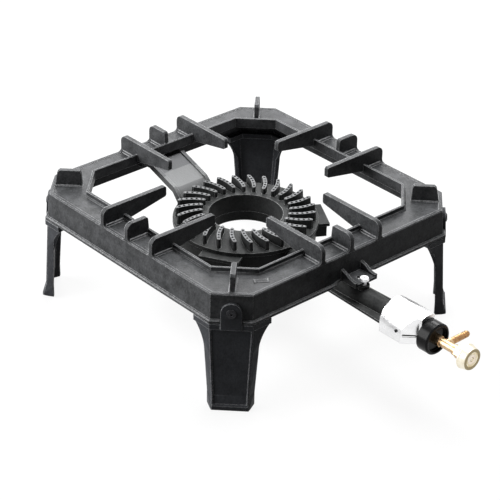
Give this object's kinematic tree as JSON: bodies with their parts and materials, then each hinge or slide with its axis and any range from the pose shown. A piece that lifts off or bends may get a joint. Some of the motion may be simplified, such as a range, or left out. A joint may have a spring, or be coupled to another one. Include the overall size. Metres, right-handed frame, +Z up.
{
  "type": "propane burner stand",
  "caption": "Low four-legged cast-iron gas burner stand: square frame with pan fingers around a spiral-ribbed ring burner, mixing tube with sliding air shutter and needle valve.",
  "frame": {"origin": "on the ground under the middle of the burner", "axes": "+Z up, -Y along the mixing tube towards the gas inlet and the knob, +X towards the side that the hose tail points to"},
  "size_m": [0.3964, 0.5867, 0.1735],
  "materials": {
    "frame_iron": "satin black stove enamel over cast iron",
    "leg_iron": "satin black stove enamel over cast iron",
    "burner_iron": "satin black stove enamel over cast iron",
    "black_steel": "blackened steel",
    "bright_steel": "zinc-plated steel",
    "shutter_chrome": "bright plated sheet",
    "drum_black": "gloss black",
    "brass": "turned brass",
    "knob_brass": "turned brass, pale",
    "packing": "white sealing ring"
  },
  "bodies": {
    "stand": {"frame": "frame_iron", "leg_front_left": "leg_iron", "leg_front_right": "leg_iron", "leg_rear_left": "leg_iron", "leg_rear_right": "leg_iron", "leg_bolts": "black_steel", "leg_washers": "bright_steel", "leg_nuts": "bright_steel", "burner_body": "burner_iron", "burner_cap": "burner_iron", "cap_screws": "bright_steel", "clamp_screw": "bright_steel", "end_drum": "drum_black", "valve_body": "brass", "valve_lock_nut": "brass", "jet": "brass", "hose_barb": "brass", "gland_nut": "brass", "gland_packing": "packing"},
    "shutter": {"air_shutter": "shutter_chrome", "shutter_pins": "bright_steel"},
    "needle": {"needle": "brass"},
    "knob": {"knob": "knob_brass", "knob_screw": "bright_steel"}
  },
  "joints": [
    {"name": "shutter_slide", "type": "slide", "parent": "stand", "child": "shutter", "axis": [0, 1, 0], "range_m": [0, 0.016]},
    {"name": "needle_lift", "type": "slide", "parent": "stand", "child": "needle", "axis": [0, -1, 0], "range_m": [0, 0.0015]},
    {"name": "knob_turn", "type": "hinge", "parent": "needle", "child": "knob", "pos_m": [0, -0.375, 0.0985], "axis": [0, -1, 0], "range_deg": [0, 540]}
  ],
  "couplings": [
    {"joint": "needle_lift", "follows": "knob_turn", "m_per_rad": 0.000159}
  ]
}
